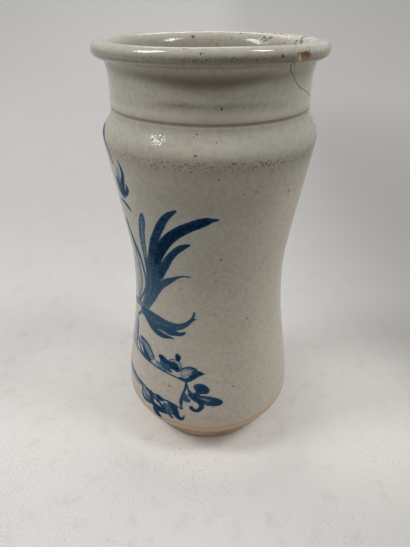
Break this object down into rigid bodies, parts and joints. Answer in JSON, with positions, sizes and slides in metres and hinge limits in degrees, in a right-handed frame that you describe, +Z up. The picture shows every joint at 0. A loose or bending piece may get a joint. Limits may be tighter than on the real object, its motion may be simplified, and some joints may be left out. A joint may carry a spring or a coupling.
{
  "type": "albarello",
  "caption": "Waisted tin-glazed earthenware storage jar with a rolled lip, grooved neck, cobalt ornament, bare heel and a mended rim sherd.",
  "frame": {"origin": "middle of the foot, on the surface that the jar stands on", "axes": "+Z up along the jar's axis; the middle of the ornament faces -Y, the mended sherd lies near +Y"},
  "size_m": [0.132, 0.132, 0.28],
  "materials": {
    "clay": "bare buff earthenware",
    "outer_glaze": "grey-white tin glaze with pinholes",
    "inner_glaze": "grey-white tin glaze",
    "cobalt": "cobalt blue painting fired into the glaze",
    "sherd_clay": "broken orange-buff earthenware",
    "sherd_glaze": "grey-white tin glaze",
    "adhesive": "old brown adhesive"
  },
  "bodies": {
    "root": {"clay_body": "clay", "outer_glaze": "outer_glaze", "inner_glaze": "inner_glaze", "cobalt_painting": "cobalt", "rim_sherd": "sherd_clay", "sherd_glaze": "sherd_glaze", "mend_seam": "adhesive"}
  },
  "joints": []
}
